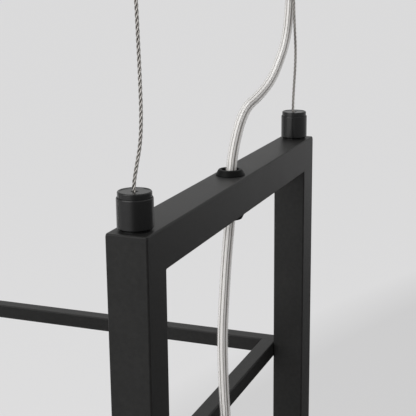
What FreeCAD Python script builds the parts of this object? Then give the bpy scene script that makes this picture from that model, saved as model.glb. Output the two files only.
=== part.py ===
import FreeCAD, Part
import math
import os
import Sketcher

# A linear island pendant: a long open frame of black square tube that hangs on four steel wires.
# Row frame: +X along the pendant, towards the end that the cord goes down; +Z up; the origin is the
# middle of the four ceiling screws, in the plane of the ceiling. Millimetres.

SIZES = {
    # the frame
    "frame_length": 1200.0,
    "frame_width": 260.0,
    "frame_height": 286.0,
    "tube_side": 20.0,
    "tube_wall": 1.5,
    "tube_round": 2.0,
    "rail_side": 10.0,
    "rail_wall": 1.0,
    "rail_round": 1.0,
    "rail_drop": 138.0,
    "hang_length": 200.0,
    # the ceiling canopies and their brackets
    "canopy_overhang": 15.0,
    "canopy_width": 60.0,
    "canopy_height": 25.0,
    "canopy_wall": 1.5,
    "canopy_round": 4.0,
    "ceiling_gap": 0.5,
    "bracket_width": 30.0,
    "bracket_plate": 2.0,
    "bracket_tab": 14.0,
    "bracket_clearance": 0.3,
    "ceiling_hole": 5.5,
    "ceiling_hole_spacing": 150.0,
    "canopy_screw": 4.0,
    "canopy_screw_head": 8.0,
    "canopy_screw_head_height": 2.4,
    "canopy_screw_length": 7.0,
    "canopy_screw_drop": 9.0,
    "canopy_screw_edge": 0.6,
    "screw_clearance": 0.3,
    # the wires and what holds their upper ends
    "wire": 1.5,
    "wire_tail": 12.0,
    "outlet": 9.0,
    "outlet_height": 3.0,
    "outlet_neck": 6.0,
    "outlet_bore": 1.7,
    "outlet_edge": 1.0,
    "ferrule": 4.0,
    "ferrule_height": 7.0,
    # the wire grips
    "grip": 16.0,
    "grip_height": 13.6,
    "grip_chamfer": 0.6,
    "grip_rim_lap": 0.2,
    "grip_stem": 7.8,
    "grip_stem_length": 9.0,
    "grip_guide": 10.0,
    "grip_guide_depth": 3.8,
    "grip_neck_depth": 1.8,
    "grip_cone_top": 5.8,
    "grip_cone_bottom": 8.0,
    "grip_cone_height": 4.0,
    "grip_chamber_depth": 7.0,
    "grip_stem_wall": 1.2,
    "grip_cone_lead": 1.0,
    "fit_clearance": 0.08,
    "plunger": 15.0,
    "plunger_height": 2.4,
    "plunger_travel": 1.0,
    "plunger_spare": 0.2,
    "plunger_dish": 0.35,
    "plunger_rim": 0.9,
    "plunger_bore": 2.2,
    "plunger_mouth": 3.0,
    "plunger_mouth_depth": 1.0,
    "cage": 4.8,
    "cage_collar": 6.2,
    "cage_collar_height": 0.8,
    "ball": 2.5,
    "ball_clearance": 0.05,
    "ball_hole_clearance": 0.2,
    "ball_lift": 0.2,
    "ball_count": 3,
    "spring_wire": 0.6,
    "spring_turns": 5,
    "spring_diameter": 4.8,
    "spring_seat": 0.02,
    "insert_nut_flange": 14.0,
    "insert_nut_flange_height": 1.0,
    "insert_nut": 11.0,
    "insert_nut_length": 12.0,
    "insert_nut_edge": 0.5,
    # the cord and the bushes that it goes through
    "cord": 6.0,
    "bush": 15.8,
    "bush_rim": 12.4,
    "bush_height": 3.0,
    "bush_bore": 9.6,
    "bush_neck": 11.8,
    "bush_lip": 13.8,
    "bush_lip_height": 1.8,
    "bush_round": 0.7,
    "gland_clearance": 0.3,
    "gland": 14.0,
    "gland_tip": 9.0,
    "gland_height": 12.0,
    "gland_stem": 9.0,
    "gland_stem_length": 5.0,
    "gland_inset": 16.0,
    "gland_offset": 12.0,
    "terminal_length": 26.0,
    "terminal_width": 17.0,
    "terminal_height": 12.0,
    "terminal_hole": 3.6,
    "terminal_pitch": 7.6,
    "terminal_round": 1.0,
    # the lamps
    "lamp_count": 4,
    "lamp_spacing": 240.0,
    "cup": 40.0,
    "cup_foot": 32.0,
    "cup_height": 46.0,
    "cup_wall": 1.2,
    "cup_floor": 1.5,
    "holder_floor": 8.0,
    "holder_height": 40.0,
    "holder_shoulder": 2.0,
    "holder_foot_clearance": 1.0,
    "holder_clearance": 0.4,
    "bulb_cap": 26.4,
    "bulb_cap_height": 24.0,
    "bulb_cap_taper": 6.0,
    "bulb_contact": 9.0,
    "bulb_contact_height": 1.0,
    "bulb_neck": 25.0,
    "bulb_wide": 64.0,
    "bulb_height": 112.0,
    "bulb_neck_height": 12.0,
    "bulb_wide_height": 72.0,
    "bulb_glass": 1.0,
    "nipple": 9.8,
    "nipple_bore": 6.0,
    "nipple_flange": 15.0,
    "nipple_flange_height": 3.0,
    "nipple_sink": 1.0,
    "lead": 4.0,
    "lead_branch": 3.0,
    "lead_tail": 2.0,
}

doc = FreeCAD.newDocument("LinearPendant")
sheet = doc.addObject("Spreadsheet::Sheet", "Sizes")
for row, (alias, size) in enumerate(SIZES.items(), 1):
    sheet.set(f"A{row}", alias)
    sheet.set(f"B{row}", str(size))
    sheet.setAlias(f"B{row}", alias)
doc.recompute()

kept = []


def value(expression):
    """The number that an expression on the sheet's sizes gives."""
    if isinstance(expression, (int, float)):
        return float(expression)
    return float(sheet.evalExpression(expression))


def bound(expression):
    """The same expression, as another object of the document writes it."""
    words, word = [], ""
    for letter in str(expression) + " ":
        if letter.isalnum() or letter in "_.":
            word += letter
            continue
        words.append("Sizes." + word if word in SIZES else word)
        words.append(letter)
        word = ""
    return "".join(words).strip()


def tie(item, prop, expression):
    item.setExpression(prop, bound(expression))


def place(item, x=0, y=0, z=0, turn=None):
    """Puts an object at x, y, z, after a turn given as an axis and an angle."""
    if turn:
        item.Placement = FreeCAD.Placement(FreeCAD.Vector(), FreeCAD.Rotation(*turn))
    for axis, expression in zip("xyz", (x, y, z)):
        tie(item, f"Placement.Base.{axis}", expression)
    return item


def keep(item, label):
    item.Label = label
    kept.append(item)
    return item


def new_body(name):
    return doc.addObject("PartDesign::Body", "Body_" + name)


def sketch_on(body, role, name):
    plane = next(o for o in body.Origin.OriginFeatures if o.Role == role)
    sketch = body.newObject("Sketcher::SketchObject", name)
    sketch.AttachmentSupport = [(plane, "")]
    sketch.MapMode = "FlatFace"
    return sketch


def tie_point(sketch, curve, end, u, v):
    """Holds one end of a sketch's curve at u, v from the sketch's origin."""
    for kind, expression in (("DistanceX", u), ("DistanceY", v)):
        number = sketch.addConstraint(
            Sketcher.Constraint(kind, -1, 1, curve, end, value(expression))
        )
        tie(sketch, f"Constraints[{number}]", expression)


def outline(sketch, corners):
    """A closed outline of straight edges through the corners, each a pair of expressions."""
    first = sketch.GeometryCount
    spots = [FreeCAD.Vector(value(u), value(v), 0) for u, v in corners]
    count = len(corners)
    for k in range(count):
        sketch.addGeometry(Part.LineSegment(spots[k], spots[(k + 1) % count]), False)
    for k in range(count):
        following = first + (k + 1) % count
        sketch.addConstraint(Sketcher.Constraint("Coincident", first + k, 2, following, 1))
    for k, (u, v) in enumerate(corners):
        tie_point(sketch, first + k, 1, u, v)


def circle(sketch, u, v, diameter):
    """A circle of one diameter with its centre at u, v."""
    centre = FreeCAD.Vector(value(u), value(v), 0)
    round_edge = Part.Circle(centre, FreeCAD.Vector(0, 0, 1), value(diameter) / 2)
    curve = sketch.addGeometry(round_edge, False)
    tie_point(sketch, curve, 3, u, v)
    number = sketch.addConstraint(Sketcher.Constraint("Radius", curve, value(diameter) / 2))
    tie(sketch, f"Constraints[{number}]", f"({diameter}) / 2")


def pad(body, sketch, length, name="Pad"):
    feature = body.newObject("PartDesign::Pad", name)
    feature.Profile = sketch
    tie(feature, "Length", length)
    doc.recompute()
    return feature


def pocket(body, sketch, length, both_ways=False, other_way=False, name="Pocket"):
    """Cuts a sketch into the body and sees that it took some material away."""
    before = body.Shape.Volume
    feature = body.newObject("PartDesign::Pocket", name)
    feature.Profile = sketch
    feature.SideType = "Symmetric" if both_ways else "One side"
    feature.Reversed = other_way
    tie(feature, "Length", length)
    doc.recompute()
    if not body.Shape.Volume < before:
        raise ValueError(f"{body.Name}: {name} cuts nothing")
    return feature


def turned(name, corners):
    """A body turned about its own Z axis from an outline in its XZ plane."""
    body = new_body(name)
    sketch = sketch_on(body, "XZ_Plane", "Outline_" + name)
    outline(sketch, corners)
    feature = body.newObject("PartDesign::Revolution", "Turn")
    feature.Profile = sketch
    feature.ReferenceAxis = (sketch, ["V_Axis"])
    feature.Angle = 360
    doc.recompute()
    return body


def edges_along(shape, axis):
    """The names of the straight edges that run along one axis."""
    names = []
    for number, edge in enumerate(shape.Edges, 1):
        if edge.Curve.TypeId != "Part::GeomLine":
            continue
        if abs(abs(edge.tangentAt(edge.FirstParameter).dot(axis)) - 1) < 1e-6:
            names.append(f"Edge{number}")
    return names


def round_edges(body, feature, names, radius, name="Fillet"):
    fillet = body.newObject("PartDesign::Fillet", name)
    fillet.Base = (feature, names)
    tie(fillet, "Radius", radius)
    doc.recompute()
    return fillet


# Heights and places that several pieces share, written once as expressions on the sheet.
FRAME_TOP = "-(canopy_height + hang_length)"
FRAME_FOOT = f"({FRAME_TOP} - frame_height)"
END_X = "(frame_length - tube_side) / 2"
POST_Y = "(frame_width - tube_side) / 2"
RAIL_Z = f"({FRAME_TOP} - rail_drop - rail_side / 2)"
CANOPY_FLOOR = "-(canopy_height - canopy_wall)"
CANOPY_LENGTH = f"(2 * ({POST_Y} + canopy_overhang))"
ALONG_X = (FreeCAD.Vector(0, 1, 0), 90)
HALF_TURN = (FreeCAD.Vector(0, 0, 1), 180)
UNDERSIDE_IN = (FreeCAD.Vector(1, 0, 0), -90)
TOP_SIDE_IN = (FreeCAD.Vector(1, 0, 0), 90)
CORNERS = [(side, depth) for side in ("right", "left") for depth in ("front", "rear")]
SIDE = {"right": 1, "left": -1}
DEPTH = {"front": -1, "rear": 1}


def square_tube(name, length, side, wall, radius):
    """A square tube from the origin up its Z axis, its long edges rounded inside and out."""
    body = new_body(name)
    sketch = sketch_on(body, "XY_Plane", "Section")
    half = f"({side}) / 2"
    outline(sketch, [(f"-{half}", f"-{half}"), (half, f"-{half}"), (half, half), (f"-{half}", half)])
    solid = pad(body, sketch, length)
    solid = round_edges(body, solid, edges_along(solid.Shape, FreeCAD.Vector(0, 0, 1)), radius)
    hollow = sketch_on(body, "XY_Plane", "Hollow")
    inner = f"(({side}) / 2 - {wall})"
    outline(
        hollow,
        [(f"-{inner}", f"-{inner}"), (inner, f"-{inner}"), (inner, inner), (f"-{inner}", inner)],
    )
    pocket(body, hollow, length, other_way=True, name="Bore")
    return body


def mitred_tube(name, length):
    """A tube of an end frame: both ends are cut at 45 degrees and its +Y face is the inner one."""
    body = square_tube(name, length, "tube_side", "tube_wall", "tube_round")
    reach = "3 * tube_side / 2"
    for end, outward in (("0", -1), (length, 1)):
        sketch = sketch_on(body, "YZ_Plane", "Mitre")
        beyond = f"{end} + {outward} * tube_side"
        within = f"{end} - {outward} * 2 * tube_side"
        outline(sketch, [(f"-{reach}", beyond), (reach, beyond), (reach, within)])
        pocket(body, sketch, "2 * tube_side", both_ways=True, name="Mitre_cut")
    return body


def end_frame(side):
    """Two posts and two bars, mitred into a closed rectangle."""
    x = f"{SIDE[side]} * {END_X}"
    for depth in DEPTH:
        post = mitred_tube(f"{side}_post_{depth}", "frame_height")
        turn = HALF_TURN if depth == "rear" else None
        place(post, x, f"{DEPTH[depth]} * {POST_Y}", FRAME_FOOT, turn)
        keep(post, f"{side}_post_{depth}")
    top = mitred_tube(f"{side}_top_bar", "frame_width")
    holes = sketch_on(top, "XZ_Plane", "Grip_holes")
    for middle in ("tube_side / 2", "frame_width - tube_side / 2"):
        circle(holes, 0, middle, "insert_nut + 2 * fit_clearance")
    pocket(top, holes, "tube_side", other_way=True, name="Grip_hole")
    place(top, x, "-frame_width / 2", f"{FRAME_TOP} - tube_side / 2", UNDERSIDE_IN)
    foot = mitred_tube(f"{side}_bottom_bar", "frame_width")
    place(foot, x, "frame_width / 2", f"{FRAME_FOOT} + tube_side / 2", TOP_SIDE_IN)
    if side == "right":
        cord_way = sketch_on(top, "XZ_Plane", "Cord_hole")
        circle(cord_way, 0, "frame_width / 2", "bush_neck + 2 * fit_clearance")
        pocket(top, cord_way, "2 * tube_side", both_ways=True, name="Cord_holes")
        cord_end = sketch_on(foot, "XZ_Plane", "Cord_hole")
        circle(cord_end, 0, "frame_width / 2", "bush_neck + 2 * fit_clearance")
        pocket(foot, cord_end, "tube_side", name="Cord_hole_cut")
        lead_way = sketch_on(foot, "YZ_Plane", "Lead_hole")
        circle(lead_way, 0, "frame_width / 2", "2 * lead")
        pocket(foot, lead_way, "tube_side", name="Lead_hole_cut")
    keep(top, f"{side}_top_bar")
    keep(foot, f"{side}_bottom_bar")


def rails():
    """The thin rectangle that ties the two end frames together at mid-height."""
    for depth in DEPTH:
        rail = square_tube(
            f"{depth}_rail", "frame_length - 2 * tube_side", "rail_side", "rail_wall", "rail_round"
        )
        place(rail, "-(frame_length / 2 - tube_side)", f"{DEPTH[depth]} * {POST_Y}", RAIL_Z, ALONG_X)
        keep(rail, f"{depth}_rail")
    for side in SIDE:
        rail = square_tube(
            f"{side}_cross_rail", f"2 * {POST_Y} - rail_side", "rail_side", "rail_wall", "rail_round"
        )
        x = f"{SIDE[side]} * (frame_length / 2 - tube_side - rail_side / 2)"
        place(rail, x, f"-({POST_Y} - rail_side / 2)", RAIL_Z, UNDERSIDE_IN)
        keep(rail, f"{side}_cross_rail")


LAMPS = range(int(value("lamp_count")))


def lamp_x(number):
    return f"(({number} - (lamp_count - 1) / 2) * lamp_spacing)"


BEAM_TOP = f"({FRAME_FOOT} + tube_side)"


def beam():
    """The tube between the two bottom bars that carries the lampholders."""
    body = square_tube("lamp_beam", "frame_length - 2 * tube_side", "tube_side", "tube_wall", "tube_round")
    holes = sketch_on(body, "YZ_Plane", "Nipple_holes")
    for number in LAMPS:
        along = f"frame_length / 2 - tube_side + {lamp_x(number)}"
        circle(holes, 0, along, "nipple + 2 * fit_clearance")
    pocket(body, holes, "tube_side", name="Nipple_hole")
    place(body, "-(frame_length / 2 - tube_side)", 0, f"{FRAME_FOOT} + tube_side / 2", ALONG_X)
    keep(body, "lamp_beam")


def group(name, members):
    """One node made of identical separate pieces."""
    compound = doc.addObject("Part::Compound", "Group_" + name)
    compound.Links = members
    return keep(compound, name)


def lamps():
    """Lampholder cups, holders, bulbs and the hollow nipples that fix them to the beam."""
    holders, caps, nipples = [], [], []
    for number in LAMPS:
        x = lamp_x(number)
        cup = turned(
            f"lampholder_cup_{number + 1}",
            [
                ("nipple / 2 + fit_clearance", 0),
                ("cup_foot / 2", 0),
                ("cup / 2", "cup_height / 4"),
                ("cup / 2", "cup_height"),
                ("cup / 2 - cup_wall", "cup_height"),
                ("cup / 2 - cup_wall", "cup_height / 4 + cup_floor / 2"),
                ("cup_foot / 2 - cup_wall / 2", "cup_floor"),
                ("nipple / 2 + fit_clearance", "cup_floor"),
            ],
        )
        place(cup, x, 0, BEAM_TOP)
        keep(cup, f"lampholder_cup_{number + 1}")
        holder = turned(
            f"holder_{number + 1}",
            [
                ("nipple / 2 + fit_clearance", 0),
                ("cup_foot / 2 - cup_wall - holder_foot_clearance", 0),
                ("cup / 2 - cup_wall - holder_clearance", "cup_height / 4 + holder_shoulder"),
                ("cup / 2 - cup_wall - holder_clearance", "holder_height"),
                ("bulb_cap / 2 + holder_clearance", "holder_height"),
                ("bulb_cap / 2 + holder_clearance", "holder_floor"),
                ("nipple / 2 + fit_clearance", "holder_floor"),
            ],
        )
        holders.append(place(holder, x, 0, f"{BEAM_TOP} + cup_floor"))
        cap = turned(
            f"cap_{number + 1}",
            [
                (0, 0),
                ("bulb_contact / 2", 0),
                ("bulb_contact / 2", "bulb_contact_height"),
                ("bulb_cap / 2", "bulb_cap_taper"),
                ("bulb_cap / 2", "bulb_cap_height"),
                (0, "bulb_cap_height"),
            ],
        )
        caps.append(place(cap, x, 0, f"{BEAM_TOP} + cup_floor + holder_floor"))
        nipple = turned(
            f"nipple_{number + 1}",
            [
                ("nipple_bore / 2", "-nipple_flange_height"),
                ("nipple_flange / 2", "-nipple_flange_height"),
                ("nipple_flange / 2", 0),
                ("nipple / 2", 0),
                ("nipple / 2", "tube_wall + cup_floor + holder_floor - nipple_sink"),
                ("nipple_bore / 2", "tube_wall + cup_floor + holder_floor - nipple_sink"),
            ],
        )
        nipples.append(place(nipple, x, 0, f"{BEAM_TOP} - tube_wall"))
    group("lampholder_inserts", holders)
    group("bulb_caps", caps)
    group("lampholder_nipples", nipples)


def spot(u, v):
    return FreeCAD.Vector(u, 0, v)


def bulb_profile(inset):
    """The edges of a squirrel-cage bulb from its neck to its crown, drawn in by inset."""
    neck = value("bulb_neck") / 2 - inset
    wide = value("bulb_wide") / 2 - inset
    neck_height = value("bulb_neck_height")
    wide_height = value("bulb_wide_height")
    crown = value("bulb_height") - inset
    # the shoulder bends out of the neck and back in at half way
    middle = spot((neck + wide) / 2, (neck_height + wide_height) / 2)
    rise, run = wide_height - neck_height, wide - neck
    bend = (rise * rise + run * run) / (4 * run)
    turn = math.asin(min(1.0, rise / 2 / bend)) / 2
    drift = bend * (1 - math.cos(turn))
    lift = bend * math.sin(turn)
    return [
        Part.LineSegment(spot(neck, 0), spot(neck, neck_height)).toShape(),
        Part.Arc(spot(neck, neck_height), spot(neck + drift, neck_height + lift), middle).toShape(),
        Part.Arc(middle, spot(wide - drift, wide_height - lift), spot(wide, wide_height)).toShape(),
        dome_curve(wide, wide_height, crown),
    ]


def dome_curve(wide, wide_height, crown):
    """A quarter of an ellipse, from the bulb's widest ring to its crown."""
    centre, ring, top = spot(0, wide_height), spot(wide, wide_height), spot(0, crown)
    longer, shorter = (ring, top) if wide > crown - wide_height else (top, ring)
    ellipse = Part.Ellipse(longer, shorter, centre)
    first, last = sorted((ellipse.parameter(ring), ellipse.parameter(top)))
    if last - first > math.pi:
        first, last = last, first + 2 * math.pi
    return Part.ArcOfEllipse(ellipse, first, last).toShape()


def bulbs():
    """The clear glass of each bulb, a thin shell that stands in its cap."""
    thick = value("bulb_glass")
    outer = bulb_profile(0)
    inner = bulb_profile(thick)
    foot = Part.LineSegment(
        spot(value("bulb_neck") / 2, 0), spot(value("bulb_neck") / 2 - thick, 0)
    ).toShape()
    crown = Part.LineSegment(
        spot(0, value("bulb_height")), spot(0, value("bulb_height") - thick)
    ).toShape()
    profile = Part.Wire(Part.__sortEdges__(outer + inner + [foot, crown]))
    solid = Part.Face(profile).revolve(FreeCAD.Vector(), FreeCAD.Vector(0, 0, 1), 360)
    for number in LAMPS:
        glass = doc.addObject("Part::Feature", f"Glass_{number + 1}")
        glass.Shape = solid
        place(glass, lamp_x(number), 0, f"{BEAM_TOP} + cup_floor + holder_floor + bulb_cap_height")
        keep(glass, f"bulb_glass_{number + 1}")


def bush(name, x, y, z, turn=None):
    """A soft bush in a tube's wall: its crown outside, its lip inside, the cord loose in its bore."""
    body = turned(
        name,
        [
            ("bush_bore / 2", "-(tube_wall + bush_lip_height)"),
            ("bush_lip / 2 - bush_round", "-(tube_wall + bush_lip_height)"),
            ("bush_lip / 2", "-tube_wall"),
            ("bush_neck / 2", "-tube_wall"),
            ("bush_neck / 2", 0),
            ("bush / 2", 0),
            ("bush / 2", "bush_round / 2"),
            ("bush_rim / 2 + bush_round / 3", "bush_height - bush_round"),
            ("bush_rim / 2 - bush_round / 3", "bush_height"),
            ("bush_bore / 2 + bush_round", "bush_height"),
            ("bush_bore / 2", "bush_height - bush_round"),
        ],
    )
    place(body, x, y, z, turn)
    keep(body, name)


# Heights inside a grip, counted from the end frame's top face.
GRIP_FOOT = "insert_nut_flange_height"
GRIP_TOP = f"({GRIP_FOOT} + grip_height)"
GUIDE_FLOOR = f"({GRIP_TOP} - grip_guide_depth)"
NECK_FLOOR = f"({GUIDE_FLOOR} - grip_neck_depth)"
CONE_FLOOR = f"({NECK_FLOOR} - grip_cone_height)"
CHAMBER_FLOOR = f"({CONE_FLOOR} - grip_chamber_depth)"
PLUNGER_GAP = "(plunger_travel + plunger_spare)"
HEAD_FOOT = f"({GRIP_TOP} + {PLUNGER_GAP})"
HEAD_TOP = f"({HEAD_FOOT} + plunger_height)"
RIM_TOP = f"({HEAD_FOOT} + grip_rim_lap)"
GUIDE_FOOT = f"({GUIDE_FLOOR} + {PLUNGER_GAP})"
CAGE_FOOT = CONE_FLOOR
BALL_RING = "(wire / 2 + ball / 2 + ball_clearance)"
BALL_HEIGHT = f"({CAGE_FOOT} + grip_cone_height / 2 + ball_lift)"


def grips():
    """A wire grip on each corner: three balls in a cone bite the wire until the plunger is pressed."""
    nuts = []
    for side, depth in CORNERS:
        x = f"{SIDE[side]} * {END_X}"
        y = f"{DEPTH[depth]} * {POST_Y}"
        tag = f"{side}_{depth}"
        barrel = turned(
            f"grip_body_{tag}",
            [
                ("plunger_bore / 2", f"{GRIP_FOOT} - grip_stem_length"),
                ("grip_stem / 2", f"{GRIP_FOOT} - grip_stem_length"),
                ("grip_stem / 2", GRIP_FOOT),
                ("grip / 2 - grip_chamfer", GRIP_FOOT),
                ("grip / 2", f"{GRIP_FOOT} + grip_chamfer"),
                ("grip / 2", f"{RIM_TOP} - grip_chamfer / 2"),
                ("grip / 2 - grip_chamfer / 2", RIM_TOP),
                ("plunger / 2 + fit_clearance", RIM_TOP),
                ("plunger / 2 + fit_clearance", GRIP_TOP),
                ("grip_guide / 2 + fit_clearance", GRIP_TOP),
                ("grip_guide / 2 + fit_clearance", GUIDE_FLOOR),
                ("cage / 2 + fit_clearance", GUIDE_FLOOR),
                ("cage / 2 + fit_clearance", NECK_FLOOR),
                ("grip_cone_top / 2", NECK_FLOOR),
                ("grip_cone_bottom / 2", CONE_FLOOR),
                ("grip_stem / 2 - grip_stem_wall", f"{GRIP_FOOT} - grip_cone_lead"),
                ("grip_stem / 2 - grip_stem_wall", CHAMBER_FLOOR),
                ("plunger_bore / 2", CHAMBER_FLOOR),
            ],
        )
        place(barrel, x, y, FRAME_TOP)
        keep(barrel, f"grip_body_{tag}")
        plunger = turned(
            f"grip_plunger_{tag}",
            [
                ("plunger_bore / 2", CAGE_FOOT),
                ("cage_collar / 2", CAGE_FOOT),
                ("cage_collar / 2", f"{CAGE_FOOT} + cage_collar_height"),
                ("cage / 2", f"{CAGE_FOOT} + cage_collar_height"),
                ("cage / 2", GUIDE_FOOT),
                ("grip_guide / 2", GUIDE_FOOT),
                ("grip_guide / 2", HEAD_FOOT),
                ("plunger / 2", HEAD_FOOT),
                ("plunger / 2", f"{HEAD_TOP} - plunger_dish"),
                ("plunger / 2 - plunger_dish", HEAD_TOP),
                ("plunger / 2 - plunger_rim", HEAD_TOP),
                ("plunger / 2 - plunger_rim - plunger_dish", f"{HEAD_TOP} - plunger_dish"),
                ("plunger_mouth / 2", f"{HEAD_TOP} - plunger_dish"),
                ("plunger_bore / 2", f"{HEAD_TOP} - plunger_dish - plunger_mouth_depth"),
            ],
        )
        cage_holes(plunger)
        place(plunger, x, y, FRAME_TOP)
        keep(plunger, f"grip_plunger_{tag}")
        balls(tag, x, y)
        spring(tag, x, y)
        nut = turned(
            f"insert_nut_{tag}",
            [
                ("grip_stem / 2 + fit_clearance", "-insert_nut_length"),
                ("insert_nut / 2 - insert_nut_edge", "-insert_nut_length"),
                ("insert_nut / 2", "-insert_nut_length + insert_nut_edge"),
                ("insert_nut / 2", 0),
                ("insert_nut_flange / 2", 0),
                ("insert_nut_flange / 2", "insert_nut_flange_height"),
                ("grip_stem / 2 + fit_clearance", "insert_nut_flange_height"),
            ],
        )
        nuts.append(place(nut, x, y, FRAME_TOP))
    group("insert_nuts", nuts)


def cage_holes(plunger):
    """Three holes round the cage, one for each ball."""
    sketch = sketch_on(plunger, "YZ_Plane", "Ball_hole")
    circle(sketch, 0, BALL_HEIGHT, "ball + ball_hole_clearance")
    cut = pocket(plunger, sketch, "cage", other_way=True, name="Ball_hole_cut")
    pattern = plunger.newObject("PartDesign::PolarPattern", "Ball_holes")
    pattern.Originals = [cut]
    axis = next(o for o in plunger.Origin.OriginFeatures if o.Role == "Z_Axis")
    pattern.Axis = (axis, [""])
    pattern.Angle = 360
    tie(pattern, "Occurrences", "ball_count")
    plunger.Tip = pattern
    doc.recompute()


def balls(tag, x, y):
    """The balls of one grip, spaced round the wire."""
    members = []
    for number in range(int(value("ball_count"))):
        ball = doc.addObject("Part::Sphere", f"Ball_{tag}_{number}")
        tie(ball, "Radius", "ball / 2")
        angle = f"{number} * 360 / ball_count"
        place(
            ball,
            f"{x} + {BALL_RING} * cos(({angle}) * 1deg)",
            f"{y} + {BALL_RING} * sin(({angle}) * 1deg)",
            f"{FRAME_TOP} + {BALL_HEIGHT}",
        )
        members.append(ball)
    group(f"grip_balls_{tag}", members)


def spring(tag, x, y):
    """The coil spring under a cage."""
    seat = value("spring_seat")
    rod = value("spring_wire")
    low = value(CHAMBER_FLOOR) + seat
    high = value(CAGE_FOOT) - seat
    turns = value("spring_turns")
    rise = high - low - rod
    radius = value("spring_diameter") / 2 - rod / 2
    helix = Part.makeHelix(rise / turns, rise, radius)
    section = Part.Wire(
        Part.Circle(FreeCAD.Vector(radius, 0, 0), FreeCAD.Vector(0, 1, 0), rod / 2).toShape()
    )
    item = doc.addObject("Part::Feature", f"Spring_{tag}")
    item.Shape = Part.Wire(helix.Edges).makePipeShell([section], True, True)
    place(item, x, y, f"{FRAME_TOP} + {CHAMBER_FLOOR} + spring_seat + spring_wire / 2")
    keep(item, f"grip_spring_{tag}")


def wires():
    """Four straight wires, from their ferrules in the canopies through the grips into the posts."""
    ferrules, outlets = [], []
    ferrule_foot = f"({CANOPY_FLOOR} + outlet_height / 2)"
    for side, depth in CORNERS:
        x = f"{SIDE[side]} * {END_X}"
        y = f"{DEPTH[depth]} * {POST_Y}"
        tag = f"{side}_{depth}"
        wire = doc.addObject("Part::Cylinder", f"Wire_{tag}")
        tie(wire, "Radius", "wire / 2")
        low = f"({FRAME_TOP} - grip_stem_length - wire_tail)"
        tie(wire, "Height", f"{ferrule_foot} - {low}")
        place(wire, x, y, low)
        keep(wire, f"suspension_wire_{tag}")
        ferrule = doc.addObject("Part::Cylinder", f"Ferrule_{tag}")
        tie(ferrule, "Radius", "ferrule / 2")
        tie(ferrule, "Height", "ferrule_height")
        ferrules.append(place(ferrule, x, y, ferrule_foot))
        outlet = turned(
            f"outlet_{tag}",
            [
                ("outlet_bore / 2", "-(canopy_wall + outlet_height)"),
                ("outlet / 2 - outlet_edge", "-(canopy_wall + outlet_height)"),
                ("outlet / 2", "-(canopy_wall + outlet_height / 2)"),
                ("outlet / 2", "-canopy_wall"),
                ("outlet_neck / 2", "-canopy_wall"),
                ("outlet_neck / 2", "outlet_height / 2"),
                ("outlet_bore / 2", "outlet_height / 2"),
            ],
        )
        outlets.append(place(outlet, x, y, CANOPY_FLOOR))
    group("wire_ferrules", ferrules)
    group("wire_outlets", outlets)


GLAND_X = f"({END_X} - gland_offset)"
GLAND_Y = f"({POST_Y} - gland_inset)"


def canopies():
    """A slim box on the ceiling over each end frame, on a bent strap that the ceiling screws hold."""
    screws = []
    for side in SIDE:
        x = f"{SIDE[side]} * {END_X}"
        cover = new_body(f"{side}_canopy_cover")
        sketch = sketch_on(cover, "XY_Plane", "Outline")
        half_width, half_length = "canopy_width / 2", f"{CANOPY_LENGTH} / 2"
        outline(
            sketch,
            [
                (f"-{half_width}", f"-{half_length}"),
                (half_width, f"-{half_length}"),
                (half_width, half_length),
                (f"-{half_width}", half_length),
            ],
        )
        block = pad(cover, sketch, "canopy_height - ceiling_gap")
        upright = edges_along(block.Shape, FreeCAD.Vector(0, 0, 1))
        block = round_edges(cover, block, upright, "canopy_round")
        hollow = sketch_on(cover, "XY_Plane", "Hollow")
        inner_width, inner_length = f"({half_width} - canopy_wall)", f"({half_length} - canopy_wall)"
        outline(
            hollow,
            [
                (f"-{inner_width}", f"-{inner_length}"),
                (inner_width, f"-{inner_length}"),
                (inner_width, inner_length),
                (f"-{inner_width}", inner_length),
            ],
        )
        hollow.AttachmentOffset = FreeCAD.Placement(
            FreeCAD.Vector(0, 0, value("canopy_wall")), FreeCAD.Rotation()
        )
        tie(hollow, "AttachmentOffset.Base.z", "canopy_wall")
        pocket(cover, hollow, "canopy_height", other_way=True, name="Inside")
        wire_holes = sketch_on(cover, "XY_Plane", "Wire_holes")
        for sign in ("-", ""):
            circle(wire_holes, 0, f"{sign}{POST_Y}", "outlet_neck + 2 * fit_clearance")
        if side == "right":
            circle(wire_holes, "-gland_offset", GLAND_Y, "gland_stem + 2 * fit_clearance")
        pocket(cover, wire_holes, "3 * canopy_wall", both_ways=True, name="Outlet_holes")
        screw_holes = sketch_on(cover, "XZ_Plane", "Screw_holes")
        circle(screw_holes, 0, "canopy_height - canopy_screw_drop", "canopy_screw + screw_clearance")
        pocket(cover, screw_holes, f"2 * {CANOPY_LENGTH}", both_ways=True, name="Side_holes")
        place(cover, x, 0, "-canopy_height")
        keep(cover, f"{side}_canopy_cover")
        keep(bracket(side, x), f"{side}_ceiling_bracket")
        for depth in DEPTH:
            screw = turned(
                f"screw_{side}_{depth}",
                [
                    (0, "-canopy_screw_length"),
                    ("canopy_screw / 2", "-canopy_screw_length"),
                    ("canopy_screw / 2", 0),
                    ("canopy_screw_head / 2", 0),
                    ("canopy_screw_head / 2", "canopy_screw_head_height - canopy_screw_edge"),
                    ("canopy_screw_head / 2 - canopy_screw_edge", "canopy_screw_head_height"),
                    (0, "canopy_screw_head_height"),
                ],
            )
            outward = (FreeCAD.Vector(1, 0, 0), -90 * DEPTH[depth])
            screws.append(
                place(screw, x, f"{DEPTH[depth]} * {CANOPY_LENGTH} / 2", "-canopy_screw_drop", outward)
            )
    group("canopy_screws", screws)


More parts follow.
